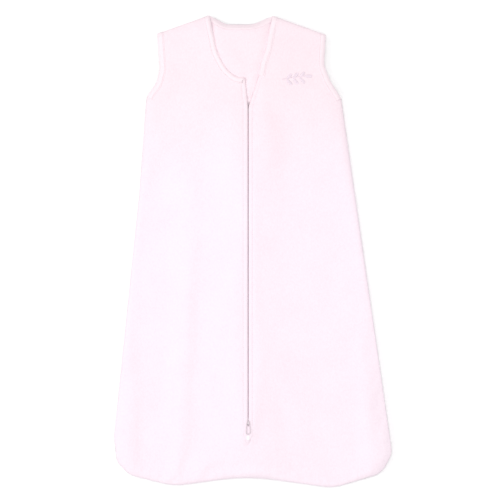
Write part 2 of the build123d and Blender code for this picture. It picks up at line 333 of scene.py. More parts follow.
def joined(name, parts, material):
    """One object from several lists of vertices and faces."""
    vertices, faces = [], []
    for v, f in parts:
        base = len(vertices)
        vertices += list(v)
        faces += [tuple(i + base for i in face) for face in f]
    obj = new_mesh(name, vertices, faces, material)
    face_outwards(obj)
    return obj


# ---- heights of the cloth
ROLL = 12.0  # how far in from the seam the front comes up to its level
WIDEST_Z, ARM_Z = 7.9, 8.8  # the front's height at the outline: at a seam, and at an armhole
PANEL_Z = 12.2  # the front's level away from the zip
RIDGE_HALF, RIDGE_FLAT = 52.0, 8.0  # half widths of the rise towards the zip, and of its top
ZIP_LINE = (ZIP_X, SLIT_FOOT - 6), (ZIP_X, 243)  # the ridge's ends
GROOVE, GROOVE_HALF, SHUT_GROOVE_HALF = 0.6, 0.9, 0.7  # where stitches pull in, and where the slit is shut
EDGE_DROP, EDGE_ROUND = 1.4, 2.4  # the fold of the front's inner edge
SEAM_WAVE, STITCH_WAVE = 15.0, 9.5  # from pucker to pucker
# Soft folds: ends, half width, and height, which is negative for a hollow.
FOLDS = [
    ((-112, -118), (-134, -245), 11, -1.3), ((-96, -110), (-112, -255), 15, 1.1),
    ((36, -190), (52, -300), 12, -1.2), ((60, -205), (80, -305), 17, 1.0),
    ((194, -50), (214, -310), 36, -4.6), ((-172, -180), (-150, -300), 14, -0.9),
    ((92, 120), (70, 30), 22, 0.7), ((-110, 150), (-80, 40), 24, 0.8),
    ((-60, -20), (-75, -160), 22, -0.7), ((110, -20), (128, -150), 20, -0.7),
    ((-100, 262), (-70, 215), 12, -0.8), ((62, 268), (34, 220), 12, -0.8),
    ((-34, 214), (-90, 196), 10, 0.6), ((24, 214), (78, 196), 10, 0.6),
]


def folds(points):
    """The soft folds' share of the height."""
    total = np.zeros(len(points))
    for a, b, half, height in FOLDS:
        distance, t = to_segment(points, a, b)
        total += height * np.exp(-((distance / half) ** 2)) * (0.35 + 0.65 * np.sin(np.pi * t))
    return total


def puckers(distance, place, length, wave, depth, reach):
    """Short creases that run in from a line that is sewn, and fade with the distance."""
    count = length / wave
    wobble = 2.2 * ripple(np.stack([place * count * 0.35, distance / 60], 1), 1.0, 3.7)
    crease = np.sin(2 * np.pi * place * count + 2.0 * wobble)
    size = 0.6 + 0.4 * ripple(np.stack([place * count * 0.2, place * 0], 1), 1.0, 9.1)
    return depth * crease * size * np.exp(-distance / reach) * smooth(distance, 0.0, 2.0)


def groove(distance, half):
    return GROOVE * np.exp(-((distance / half) ** 2))


def base_level(points):
    """The front's height before it settles: a low dome along the zip."""
    beside, _ = to_segment(points, *ZIP_LINE)
    rise = np.exp(-((np.maximum(beside - RIDGE_FLAT, 0) / RIDGE_HALF) ** 2))
    return PANEL_Z + (LOFT - PANEL_Z) * rise


def rolled(level, foot, distance):
    """The level, rolled down to the height of its foot towards the outline."""
    share = np.clip(distance / ROLL, 0, 1)
    return foot + (level - foot) * np.sqrt(1 - (1 - share) ** 2)


# ---- the front as it settles
SETTLE_STEP = 8.0  # grid of the cloth that is simulated
SETTLE_FRAMES, LAID_BY = 26, 16  # frames in all, and the frame by which its edges are in their place
SETTLE_CAP = 3.2  # the most that a point may move
HELD_RIM, HELD_ZIP = 4.0, 9.0  # how far from the outline and the zip the cloth is held


def spare_width(points):
    """Where points are when the cloth has its spare width, which grows towards the hem."""
    centre = np.where(points[:, 0] < ZIP_X, -95.0, 85.0)
    grown = 0.004 + 0.034 * smooth(-points[:, 1], -230, 300)
    wide = (points[:, 0] - centre) * grown
    return np.column_stack([points[:, 0] + wide, points[:, 1] * 1.001])


FABRIC = {
    "quality": 6, "mass": 0.08, "air_damping": 2.0, "vertex_group_mass": "held",
    "tension_stiffness": 10, "compression_stiffness": 10, "shear_stiffness": 4, "bending_stiffness": 1.5,
}


def make_cloth(obj):
    """Makes an object a cloth that is held by its vertex group and has no weight."""
    modifier = obj.modifiers.new("cloth", "CLOTH")
    for name, value in FABRIC.items():
        setattr(modifier.settings, name, value)
    modifier.settings.effector_weights.gravity = 0.0
    modifier.collision_settings.use_collision = False
    modifier.point_cache.frame_start = 1
    modifier.point_cache.frame_end = SETTLE_FRAMES


def settle():
    """How far points of a coarse cloth move as it settles: it is cut a little wider than its place,
    is held at its rim and along the zip, and buckles into soft folds."""
    rim_points = OUTLINE[::3]
    grid = hex_grid(SETTLE_STEP)
    grid = grid[inside(grid, OUTLINE)]
    grid = grid[from_rim(grid) > SETTLE_STEP * 0.6]
    count = len(rim_points)
    edges = [(k, (k + 1) % count) for k in range(count)]
    points, faces, _ = triangles_of(np.vstack([rim_points, grid]), edges, lambda p: inside(p, OUTLINE))
    distance = from_rim(points)
    seeded = 0.9 * ripple(points * (1, 0.3), 42, 4.4) + 0.5 * ripple(points * (1, 0.35), 24, 8.8)
    z = rolled(base_level(points) + seeded + folds(points), WIDEST_Z, distance)
    from_zip, _ = to_segment(points, (ZIP_X, SLIT_FOOT), (ZIP_X, 240))
    held = np.where((distance < HELD_RIM) | (from_zip < HELD_ZIP))[0]
    obj = new_mesh("settling", np.column_stack([spare_width(points), z]), [tuple(f) for f in faces])
    obj.vertex_groups.new(name="held").add([int(i) for i in held], 1.0, "REPLACE")
    obj.shape_key_add(name="as_cut")
    laid = obj.shape_key_add(name="as_laid")
    laid.data.foreach_set("co", (np.column_stack([points, z]) * MM).ravel())
    for value, frame_number in ((0.0, 1), (1.0, LAID_BY)):
        laid.value = value
        laid.keyframe_insert("value", frame=frame_number)
    make_cloth(obj)
    for frame_number in range(1, SETTLE_FRAMES + 1):
        bpy.context.scene.frame_set(frame_number)
    graph = bpy.context.evaluated_depsgraph_get()
    moved = np.array([v.co.z for v in obj.evaluated_get(graph).data.vertices]) / MM - z + seeded
    bpy.context.scene.frame_set(1)
    bpy.data.objects.remove(obj)
    return points, SETTLE_CAP * np.tanh(moved / SETTLE_CAP)


class Relief:
    """What the front settled by, anywhere on it, from the nearest points of the coarse cloth."""

    NEAREST = 6

    def __init__(self, points, moved):
        self.moved = moved
        self.tree = tree_of(points)

    def __call__(self, points):
        result = np.zeros(len(points))
        for k, p in enumerate(points):
            found = self.tree.find_n((*p, 0), self.NEAREST)
            reach = found[-1][2] + 1e-6
            weights = [(1 - (f[2] / reach) ** 2) ** 2 for f in found]
            result[k] = sum(w * self.moved[f[1]] for w, f in zip(weights, found)) / sum(weights)
        return result


SETTLED = Relief(*settle())


def front_level(points):
    """The front's height away from its edges."""
    beside, _ = to_segment(points, *ZIP_LINE)
    calm = smooth(beside, 9, 34)
    level = base_level(points) + SETTLED(points)
    level += calm * folds(points)
    level += calm * (0.75 * ripple(points, 95, 1.3) + 0.3 * ripple(points, 34, 5.1))
    for near in NEAR_STITCH:
        distance, place = near(points)
        level += puckers(distance, place, near.long, STITCH_WAVE, 0.30, 9.0) * smooth(beside, 6.6, 10)
        level -= groove(distance, GROOVE_HALF)
    shut, _ = to_segment(points, (ZIP_X, CLOSE_TO), (ZIP_X, SLIT_FOOT))
    return level - groove(shut, SHUT_GROOVE_HALF)


def front_z(points, distance=None, edge=None):
    """Height of the front's upper face, given distances to the outline and to the front's edge."""
    distance, is_open, place = rim(points, distance)
    creases = puckers(distance, place, NEAR_OUTLINE.long, SEAM_WAVE, 0.55, 13.0)
    level = front_level(points) + creases * (1 - 0.6 * is_open)
    z = rolled(level, WIDEST_Z + (ARM_Z - WIDEST_Z) * is_open, distance)
    edge = from_edge(points) if edge is None else edge
    return z - EDGE_DROP * (1 - np.clip(edge / EDGE_ROUND, 0, 1)) ** 2


def front_bottom(points):
    return front_z(points) - FLEECE


FLOOR_GAP = 0.12  # under the back
LIP_WIDE, LIP_HIGH, OPEN_LIP_DROP = 7.0, 3.6, 3.0  # how the back turns up to the outline
BEHIND_NECK, BEHIND_NECK_REACH = ((-8, 212), (-14, 262)), 84.0  # where the back lies close under the front
SEEN_LIFT = 2.7  # how far the back comes up in the neck's opening


def back_z(points, distance=None):
    """Height of the back's under face: on the floor, but raised at its rim, and close under the front
    behind the neck."""
    distance, is_open, place = rim(points, distance)
    share = np.clip(distance / LIP_WIDE, 0, 1)
    lip = (LIP_HIGH - OPEN_LIP_DROP * is_open) * (1 - np.sqrt(1 - (1 - share) ** 2))
    lift = np.clip(0.5 * ripple(points, 60, 7.7) + 0.25 * ripple(points, 24, 2.2), 0, 1)
    creases = puckers(distance, place, NEAR_OUTLINE.long, SEAM_WAVE, 0.3, 12.0)
    behind_neck, _ = to_segment(points, *BEHIND_NECK)
    seen = SEEN_LIFT * smooth(from_edge(points), -2, 7) * inside(points, HOLE)
    under_zip = 1 - smooth(np.abs(points[:, 0] - ZIP_X), 14, 28)
    under_zip *= 1 - smooth(points[:, 1], SLIT_HEAD + 1, SLIT_HEAD + 9)
    top = front_bottom(points) - LAYER_GAP + seen
    below = np.minimum(top, UNDER_ZIP + (top - UNDER_ZIP) * (1 - under_zip))
    top = np.where(under_zip > 0, below, top)
    room = np.maximum(top - FLEECE - FLOOR_GAP - lip, 0)
    lift = np.minimum(smooth(distance, 6, 22) * lift, room)
    close = np.exp(-((behind_neck / BEHIND_NECK_REACH) ** 6)) * smooth(distance, -8 * is_open, 7)
    return FLOOR_GAP + lip + lift + (room - lift) * close + np.maximum(creases, 0) * (1 - is_open)


def back_top(points):
    return back_z(points) + FLEECE


# ---- points of the panels
class Cloud:
    """Points for a triangulation, thinned so that none are close together."""

    CELL = 0.9

    def __init__(self):
        self.rows, self.cells = [], {}

    def add(self, points, apart, outline=None, edge=None):
        """Adds the points that are clear of all others, with their distances to the outline and the edge,
        measured unless given. Returns their indices, and -1 for those left out."""
        outline_d = from_rim(points) if outline is None else np.full(len(points), outline)
        edge_d = from_edge(points) if edge is None else np.full(len(points), edge)
        reach = int(math.ceil(apart / self.CELL))
        steps = [(i, j) for i in range(-reach, reach + 1) for j in range(-reach, reach + 1)]
        added = []
        for p, a, b in zip(points, outline_d, edge_d):
            cx, cy = (int(math.floor(c / self.CELL)) for c in p)
            others = (q for i, j in steps for q in self.cells.get((cx + i, cy + j), ()))
            if any((q[0] - p[0]) ** 2 + (q[1] - p[1]) ** 2 < apart * apart for q in others):
                added.append(-1)
                continue
            self.cells.setdefault((cx, cy), []).append(p)
            added.append(len(self.rows))
            self.rows.append((*p, a, b))
        return added


ROLL_RINGS = [ROLL * (1 - math.cos(math.radians(a))) for a in (14, 26, 38, 50, 63, 76, 90)]
EDGE_RINGS = [0.35, 0.9, 1.8, 3.0, 4.2, 4.9, 5.4, 5.9, 6.6, 7.6, 9.2, 11.5, 14.5]
BACK_RINGS = [0.2, 0.8, 1.7, 2.9, 4.4, 6.2, 8.5, 11.5, 15.0]
RING_SLACK = 0.12  # how much nearer to its line a ring's point may be than the ring's inset
FRONT_GRID, BACK_GRID, GRID_APART = 5.0, 5.5, 1.8  # steps of the grids, and the least room round a point
PAST_ROLL, PAST_EDGE_RINGS, PAST_BACK_RINGS = 2.5, 16.5, 17.5  # where the grids start

FLAP_MARGIN = 2.5  # how far before the fold the loose corner's own piece of cloth starts
FLAP_ALONG = 57.0  # where the fold runs out into the neckline


def corner_cut():
    """The line from the slit to the neckline where the loose corner's piece of cloth starts."""
    foot = FOLD_FOOT - FOLD_OUT * FLAP_MARGIN
    rise = (ZIP_X - SLIT_HALF - foot[0]) / FOLD_DIR[0]
    first = EDGE[nearest_index(EDGE, foot + FOLD_DIR * rise)]
    turn = foot + FOLD_DIR * FLAP_ALONG
    last = EDGE[nearest_index(EDGE, FOLD_FOOT + FOLD_DIR * FLAP_ALONG)]
    return np.array(sample_line(first, turn, 1.6) + sample_line(turn, last, 1.0) + [last])


CORNER_CUT = corner_cut()
CORNER_AREA = np.vstack([CORNER_CUT, [(-20, 264), (ZIP_X, 264), (ZIP_X, CORNER_CUT[0][1])]])


def front_cloud():
    """Points of the front, with constraint edges along its outline and inner edge."""
    cloud = Cloud()
    ids = cloud.add(OUTLINE, 0.5, outline=0)
    cloud.outline_ids = [k if on else -1 for k, on in zip(ids, ON_FRONT)]
    pairs = zip(cloud.outline_ids, cloud.outline_ids[1:] + cloud.outline_ids[:1])
    edges = [pair for pair in pairs if min(pair) >= 0]
    held = [k for k in cloud.add(EDGE, 0.3, edge=0) if k >= 0]
    edges += zip(held, held[1:])
    cut = [k for k in cloud.add(CORNER_CUT[1:-1], 0.3) if k >= 0]
    first, last = (nearest_index(np.array(cloud.rows)[:, :2], CORNER_CUT[k]) for k in (0, -1))
    held = [first, *cut, last]
    edges += zip(held, held[1:])
    for inset in ROLL_RINGS:
        points = OUTLINE + OUTLINE_IN * inset
        good = (from_rim(points) > inset - RING_SLACK) & ~inside(points, HOLE) & (from_edge(points) > 0.5)
        cloud.add(points[good], 0.36, outline=inset)
    for inset in EDGE_RINGS:
        points = EDGE + EDGE_IN * inset
        good = (from_edge(points) > inset - RING_SLACK) & on_front(points) & (from_rim(points) > 1.0)
        cloud.add(points[good], 0.34, edge=inset)
    shut = np.array([(ZIP_X, y) for y in np.arange(SLIT_FOOT, CLOSE_TO - 0.7, 0.8)])
    for aside in (0, -0.5, 0.5, -1.0, 1.0):
        cloud.add(shut + (aside, 0), 0.3)
    for line in STITCH_LINES:
        foot = line[:, 1] < SLIT_FOOT + 6
        for inset in (-1.6, -0.8, 0, 0.8, 1.6):
            cloud.add(line[foot] + normals_of(line)[foot] * inset, 0.6)
    grid = hex_grid(FRONT_GRID)
    grid = grid[on_front(grid)]
    clear = (from_rim(grid) > ROLL + PAST_ROLL) & (from_edge(grid) > PAST_EDGE_RINGS)
    cloud.add(grid[clear], GRID_APART)
    return cloud, edges


def back_cloud():
    """Points of the back, with constraint edges along its outline."""
    cloud = Cloud()
    cloud.outline_ids = cloud.add(OUTLINE, 0.5, outline=0, edge=0)
    held = [k for k in cloud.outline_ids if k >= 0]
    for inset in BACK_RINGS:
        points = OUTLINE + OUTLINE_IN * inset
        good = (from_rim(points) > inset - RING_SLACK) & inside(points, OUTLINE)
        cloud.add(points[good], 0.3, outline=inset, edge=0)
    grid = hex_grid(BACK_GRID)
    grid = grid[inside(grid, OUTLINE)]
    cloud.add(grid[from_rim(grid) > PAST_BACK_RINGS], GRID_APART, edge=0)
    return cloud, list(zip(held, held[1:] + held[:1]))


# ---- sheets
def renumbered(faces):
    """The points that faces use, and the faces with those points counted from 0."""
    used = sorted({i for f in faces for i in f})
    new = {old: k for k, old in enumerate(used)}
    return used, [tuple(new[i] for i in f) for f in faces]


def turn_in(vertices, faces, row, steps):
    """Adds the cloth that turns in to the seam: after the outline's own row, where -1 marks a point
    that has none, a row at each step's height and inset."""
    for height, inset in steps:
        fresh = []
        for k, index in enumerate(row):
            fresh.append(-1 if index < 0 else len(vertices))
            if index >= 0:
                vertices.append((*(OUTLINE[k] + OUTLINE_IN[k] * inset), height))
        for k in range(len(row)):
            j = (k + 1) % len(row)
            quad = (row[k], row[j], fresh[j], fresh[k])
            if min(quad) >= 0:
                faces.append(quad)
        row = fresh


def panel(cloud, edges, keep, height, steps):
    """Vertices and faces of a panel's outer face, with its turned-in rim where the outline is shut."""
    rows = np.array(cloud.rows)
    points, faces, source = triangles_of(rows[:, :2], edges, keep)
    z = height(points, *rows[source, 2:].T)
    vertices = [tuple(v) for v in np.column_stack([points, z])]
    faces = [tuple(f) for f in faces]
    place = {int(i): k for k, i in enumerate(source)}
    shut = rim(OUTLINE)[1] < 0.5
    row = [place.get(i, -1) if i >= 0 and shut[k] else -1 for k, i in enumerate(cloud.outline_ids)]
    turn_in(vertices, faces, row, steps)
    used, faces = renumbered(faces)
    return [vertices[i] for i in used], faces


def cloth(name, vertices, faces, material, up):
    """A layer of cloth, from its outer face."""
    obj = new_mesh(name, vertices, faces, material)
    face_outwards(obj, up)
    solid = obj.modifiers.new("thickness", "SOLIDIFY")
    solid.thickness = FLEECE * MM
    solid.offset = -1
    graph = bpy.context.evaluated_depsgraph_get()
    thick = bpy.data.meshes.new_from_object(obj.evaluated_get(graph))
    obj.modifiers.clear()
    obj.data = thick
    return obj


def parted(obj, name, area, layer_faces):
    """Moves the part of a cloth inside an area to an object of its own, and keeps the shading where they
    meet. The cloth's first faces are its outer layer, and as many more are its inner one."""
    mesh = obj.data
    places = np.array([v.co for v in mesh.vertices]) / MM
    normals = np.array([v.normal for v in mesh.vertices])
    faces = [tuple(f.vertices) for f in mesh.polygons]
    middles = np.array([places[list(f), :2].mean(0) for f in faces])
    middles[layer_faces : 2 * layer_faces] = middles[:layer_faces]
    within = inside(middles, area)
    parts = {}
    for part_name, wanted in ((obj.name, ~within), (name, within)):
        used, chosen = renumbered([f for f, w in zip(faces, wanted) if w])
        part = new_mesh(part_name + "_part", places[used], chosen, mesh.materials[0])
        part.data.normals_split_custom_set_from_vertices(normals[used].tolist())
        parts[part_name] = part
    bpy.data.objects.remove(obj)
    for part_name, part in parts.items():
        part.name = part_name
    return list(parts.values())


def front_sheets(material):
    """The front, and its loose corner, as two pieces of cloth that meet without a step."""
    steps = ((7.3, 0.08), (6.5, 0.55), (SEAM_Z + 0.08, 1.35))
    vertices, faces = panel(*front_cloud(), on_front, front_z, steps)
    whole = cloth("front_cloth", vertices, faces, material, up=True)
    return parted(whole, "corner_cloth", CORNER_AREA, len(faces))


def back_sheet(material):
    """The back, which turns up to the seam all round."""
    steps = ((4.6, 0.08), (5.4, 0.55), (SEAM_Z - 0.08, 1.35))
    shape = panel(*back_cloud(), lambda p: inside(p, OUTLINE), lambda p, rim_d, _: back_z(p, rim_d), steps)
    return cloth("back_cloth", *shape, material, up=False)


# ---- bindings
BAND_TOP = [
    (8.0, -0.15), (7.8, 0.35), (7.2, 0.66), (6.8, 0.5), (6.4, 0.05), (6.0, 0.5),
    (5.4, 0.74), (4.0, 0.8), (2.4, 0.82), (1.2, 0.75), (0.4, 0.5),
]  # distance from the edge, and height over the cloth
BAND_STITCH = 6.4  # the stitches lie where the band dips
BAND_FLOOR = 0.04  # the least height of a band on the back
BAND_PLUMP = 1.6  # how many times as plump the neck's binding is behind
BAND_PITCH, BAND_THREAD = 2.6, 0.36  # of its stitches, and how high they lie over the cloth
EDGE_PAD = 0.35  # how far a band's fold stands past the cloth's edge, above and below


def skin(count, across, caps=(True, True)):
    """Faces over a row of sections, which have as many points across, and caps at its ends."""
    faces = []
    for base in range(0, (count - 1) * across, across):
        for j in range(across):
            i = (j + 1) % across
            faces.append((base + j, base + i, base + across + i, base + across + j))
    ends = (tuple(range(across))[::-1], tuple(range((count - 1) * across, count * across)))
    return faces + [end for end, capped in zip(ends, caps) if capped]


def band_section(edge_top, edge_bottom):
    """Heights round the outer edge, from the top face to the bottom one."""
    middle, half = (edge_top + edge_bottom) / 2, (edge_top - edge_bottom) / 2 + EDGE_PAD
    angles = [math.radians(a) for a in (60, 30, 0, -30, -60)]
    return [(-EDGE_PAD - 0.6 * math.cos(a), middle + half * math.sin(a)) for a in angles]


def band(line, inward, top_z, bottom_z, floor=None, caps=(True, True), loft=1.0):
    """Vertices and faces of a binding: a strip folded round the cloth's edge, along a line."""
    tops = [top_z(line + inward * u) + lift * loft for u, lift in BAND_TOP]
    bottoms = [bottom_z(line + inward * u) - lift * 0.8 for u, lift in BAND_TOP]
    edge_top, edge_bottom = top_z(line + inward * 0.1), bottom_z(line + inward * 0.1)
    if floor is not None:
        bottoms = [np.maximum(z, floor) for z in bottoms]
        edge_bottom = np.maximum(edge_bottom, floor + EDGE_PAD)
    vertices = []
    for k, (p, n) in enumerate(zip(line, inward)):
        section = [(u, z[k]) for (u, _), z in zip(BAND_TOP, tops)]
        section += band_section(edge_top[k], edge_bottom[k])
        section += [(u, z[k]) for (u, _), z in zip(BAND_TOP[::-1], bottoms[::-1])]
        vertices += [(*(p + n * u), z) for u, z in section]
    return vertices, skin(len(line), len(section), caps)


def turned_ends(line, inward, first=None, last=None, reach=9.0):
    """Inward directions that turn at the line's ends to those from one corner to another."""
    result = inward.copy()
    for end, corners in ((line[0], first), (line[-1], last)):
        if corners:
            a, b = (np.array(c[:2]) for c in corners)
            share = 1 - smooth(away(line, end), 0, reach)[:, None]
            result = result * (1 - share) + unit(b - a) * share
    return result / np.linalg.norm(result, axis=1)[:, None]


def outline_run(first, last):
    """The outline from one corner to another, with directions into the cloth."""
    order = outline_order(first, last)
    return OUTLINE[order], OUTLINE_IN[order]


def neck_bands():
    """What the runs of the neck's binding are made with, the one on the loose corner last."""
    down = slice(nearest_index(EDGE, CORNER_L) + 1)
    line, inward = EDGE[down], turned_ends(EDGE[down], EDGE_IN[down], first=(NECK_L, TIP_L))
    cut = nearest_index(line, CORNER_CUT[-1])
    fixed = (line[: cut + 1], inward[: cut + 1], front_z, front_bottom), {"caps": (True, False)}
    loose = (line[cut:], inward[cut:], front_z, front_bottom), {"caps": (False, True)}
    down = slice(None, nearest_index(EDGE, CORNER_R) - 1, -1)
    line, inward = EDGE[down], turned_ends(EDGE[down], EDGE_IN[down], first=(NECK_R, TIP_R))
    right = (line, inward, front_z, front_bottom), {}
    line, inward = outline_run(NECK_R, NECK_L)
    inward = turned_ends(line, inward, (NECK_R, TIP_R), (NECK_L, TIP_L))
    behind = (line, inward, back_top, back_z), {"floor": BAND_FLOOR, "loft": BAND_PLUMP}
    return [fixed, right, behind, loose]


def armhole_bands(start, end, **turned):
    """What both runs of an armhole's binding are made with."""
    line, inward = outline_run(start, end)
    inward = turned_ends(line, inward, **turned)
    front = (line, inward, front_z, front_bottom), {}
    return [front, ((line, inward, back_top, back_z), {"floor": BAND_FLOOR})]


# ---- thread
STITCH_RISE, STITCH_SUNK = 0.26, 0.16  # how high a stitch arches, from how deep in the cloth
STITCH_THIN, STITCH_SWELL = 0.55, 0.45  # its thickness at the ends, and how much it grows to the middle


def tube(path, radius, sides=6):
    """Vertices and faces of a tube along points in space, with capped ends."""
    path = np.asarray(path, float)
    along = np.gradient(path, axis=0)
    along /= np.linalg.norm(along, axis=1)[:, None] + 1e-12
    side = np.cross(along, (0.0, 0.0, 1.0))
    upright = np.linalg.norm(side, axis=1) < 0.2
    side[upright] = np.cross(along[upright], (1.0, 0.0, 0.0))
    side /= np.linalg.norm(side, axis=1)[:, None]
    top = np.cross(side, along)
    radius = np.broadcast_to(radius, len(path))[:, None]
    angles = np.arange(sides) * 2 * math.pi / sides
    rings = [path + radius * (side * math.cos(a) + top * math.sin(a)) for a in angles]
    return np.stack(rings, 1).reshape(-1, 3), skin(len(path), sides)


def resampled(path, step):
    """A path with its points a step apart."""
    path = np.asarray(path, float)
    long = np.r_[0, np.cumsum(lengths_of(path))]
    at = np.linspace(0, long[-1], max(2, int(long[-1] / step) + 1))
    return np.stack([np.interp(at, long, path[:, k]) for k in range(path.shape[1])], 1)


def stitches(path, pitch=2.9, radius=0.24):
    """A row of stitches that dip into the cloth at their ends."""
    per, used = 6, 5  # points from stitch to stitch, and those that the thread shows at
    fine = resampled(path, pitch / per)
    arch = np.sin(np.pi * np.linspace(0, 1, used))
    parts = []
    for first in range(0, len(fine) - per, per):
        run = fine[first : first + used].copy()
        run[:, 2] += STITCH_RISE * arch - STITCH_SUNK
        parts.append(tube(run, radius * (STITCH_THIN + STITCH_SWELL * arch)))
    return parts


def band_stitches(bands):
    """The row of stitches along each run of a binding."""
    parts = []
    for (line, inward, height, _), _ in bands:
        points = line + inward * BAND_STITCH
        parts += stitches(np.column_stack([points, height(points) + BAND_THREAD]), BAND_PITCH)
    return parts


# ---- zip
COIL_PITCH, COIL_WIRE, COIL_REACH, COIL_END = 1.35, 0.32, 1.12, 0.4
COIL_ASIDE, COIL_STEPS = 1.1, 12  # from the zip's line to a coil's middle, and points in a turn
COIL_BLUNT = 0.8  # under 1, so that the coil's heads are blunt


def coil(side):
    """One of the two coils: its heads reach between those of the other."""
    low, high = COIL_LOW[1] + COIL_END, COIL_HIGH[1] - COIL_END
    turns = (high - low) / COIL_PITCH
    t = np.arange(0, turns, 1 / COIL_STEPS) * 2 * math.pi
    shift = 0 if side == LEFT else math.pi
    reach = COIL_REACH * np.cos(t + shift)
    reach = np.sign(reach) * np.abs(reach) ** COIL_BLUNT
    x = ZIP_X + side * (COIL_ASIDE - reach)
    y = low + COIL_PITCH * t / (2 * math.pi)
    z = (COIL_LOW[2] + COIL_HIGH[2]) / 2 + COIL_WIRE * np.sin(t + shift)
    return tube(np.column_stack([x, y, z]), COIL_WIRE)


# ---- embroidery
SATIN_PITCH, SATIN_LEAST = 0.42, 0.35
SATIN_RISE, SATIN_SUNK, SATIN_LEAN = 0.32, 0.12, 0.5  # of a stitch's arch, its ends and its slant
LEAF_TURN, LEAF_LONG, LEAF_WIDE = math.radians(48), 5.2, 2.1  # a side leaf's angle, and half its size


def leaf(middle, angle, long, wide):
    """Satin stitches side by side across a leaf."""
    parts = []
    c, s = math.cos(angle), math.sin(angle)
    t = np.linspace(-1, 1, 7)
    for u in np.arange(-long + 0.35, long - 0.3, SATIN_PITCH):
        half = wide * math.sqrt(max(0.0, 1 - (u / long) ** 2)) ** 0.85
        if half < SATIN_LEAST:
            continue
        v = t * half
        lean = u + SATIN_LEAN * np.abs(v)
        points = np.column_stack([middle[0] + c * lean - s * v, middle[1] + s * lean + c * v])
        z = front_z(points) + SATIN_RISE * (1 - t**2) - SATIN_SUNK
        parts.append(tube(np.column_stack([points, z]), 0.24, sides=5))
    return parts


def sprig():
    """A stem with leaves, worked in satin stitch."""
    low, high = mm_box("chest_sprig")
    x, y = (low[0] + high[0]) / 2 - 1.5, (low[1] + high[1]) / 2 + 2.0
    parts = []
    for along in (-13, -4, 5):
        for turn in (LEFT, RIGHT):
            out = x + along + LEAF_LONG * math.cos(LEAF_TURN)
            up = y - 2 + along * 0.15 + turn * LEAF_LONG * math.sin(LEAF_TURN)
            parts += leaf((out, up), turn * LEAF_TURN, LEAF_LONG, LEAF_WIDE)
    parts += leaf((x + 17, y + 1), 0.03, 5.8, 2.2)
    stem = resampled([(x - 20, y - 4), (x - 12, y - 2.6), (x - 4, y - 0.4), (x + 12, y + 1)], 0.8)
    for k in range(0, len(stem) - 3, 2):
        run = resampled(stem[k : k + 4], 0.5)
        run[:, 1] += np.linspace(-0.35, 0.35, len(run))
        z = front_z(run) + 0.1 + 0.2 * np.sin(np.linspace(0, np.pi, len(run)))
        parts.append(tube(np.column_stack([run, z]), 0.26, sides=5))
    return parts


PATCH_SUNK, PATCH_DOME = 0.45, 0.95  # under the CAD patch's foot, and the height of its middle over that


def end_tab():
    """The little patch over the foot of the slit: a soft pad."""
    low, high = mm_box("zip_end_tab")
    middle, half = (low + high) / 2, (high - low) / 2
    columns, rows = 9, 13
    vertices = []
    for v in (2 * i / (rows - 1) - 1 for i in range(rows)):
        for u in (2 * j / (columns - 1) - 1 for j in range(columns)):
            round_off = 1 - 0.12 * (abs(u) * abs(v)) ** 2
            x, y = middle[:2] + half[:2] * (u, v) * round_off
            dome = (1 - abs(u) ** 4) * (1 - abs(v) ** 6)
            vertices.append((x, y, low[2] - PATCH_SUNK + PATCH_DOME * dome**0.6))
    corners = [i * columns + j for i in range(rows - 1) for j in range(columns - 1)]
    return vertices, [(a, a + 1, a + columns + 1, a + columns) for a in corners]


# ---- seams inside
ALLOWANCE, WRAPPED = (2.5, 7.6), (4.4, 7.7)  # insets of a seam's allowance, and of the thread round its edge


def seam_strip(line, inward, low_inset, high_inset):
    """The allowance behind a seam: a strip whose free edge is slightly wavy."""
    line, inward = line[::2], inward[::2]
    k = np.arange(len(line))
    wave = 0.22 * np.sin(k * 0.9) + 0.15 * np.sin(k * 0.37 + 1)
    inner = line + inward * low_inset
    outer = line + inward * (high_inset + wave[:, None])
    rows = [(inner, 0.55), (outer, 0.5), (outer, -0.5), (inner, -0.55)]
    vertices = [(*row[i], SEAM_Z + height + 0.3 * wave[i]) for i in k for row, height in rows]
    return vertices, skin(len(line), len(rows))


def overlock(line, inward, low_inset, high_inset, pitch=3.2):
    """The zigzag of thread that wraps an allowance's edge."""
    fine = resampled(np.hstack([line, inward]), pitch / 2)
    inner = np.arange(len(fine)) % 2 == 0
    points = fine[:, :2] + fine[:, 2:] * np.where(inner, low_inset, high_inset + 0.25)[:, None]
    z = np.where(inner, SEAM_Z + 0.75, SEAM_Z - 0.1)
    return tube(resampled(np.column_stack([points, z]), 1.2), 0.2, sides=4)


def seam(name, material, first, last, skip):
    """A seam's allowance from one corner to another, without so much at each end."""
    line, inward = outline_run(first, last)
    long = np.r_[0, np.cumsum(lengths_of(line))]
    keep = (long > skip) & (long < long[-1] - skip)
    line, inward = line[keep], inward[keep]
    parts = [seam_strip(line, inward, *ALLOWANCE), overlock(line, inward, *WRAPPED)]
    return joined(name, parts, material)


# ---- materials
WHITE, BLACK = (1.0, 1.0, 1.0), (0.0, 0.0, 0.0)
# The second pink is painted shade on the fleece, darker towards the bag's top, and also the bindings' own
# colour.
FLEECE_PINK, TOP_SHADE_AND_BINDING_PINK = (0.90, 0.795, 0.860), (0.895, 0.770, 0.815)
THREAD_PINK, SILK_PINK, PATCH_WHITE = (0.84, 0.70, 0.77), (0.88, 0.76, 0.84), (0.93, 0.91, 0.93)
TOP_SHADE_FROM, TOP_SHADE_TO = 60, 250  # where along the bag the painted shade towards its top begins, and where it is full
WAVE_SCALE = 0.314  # of a wave texture whose pitch is 1


def shade(base, k):
    """A colour made lighter or darker."""
    return tuple(min(1.0, c * k) for c in base)


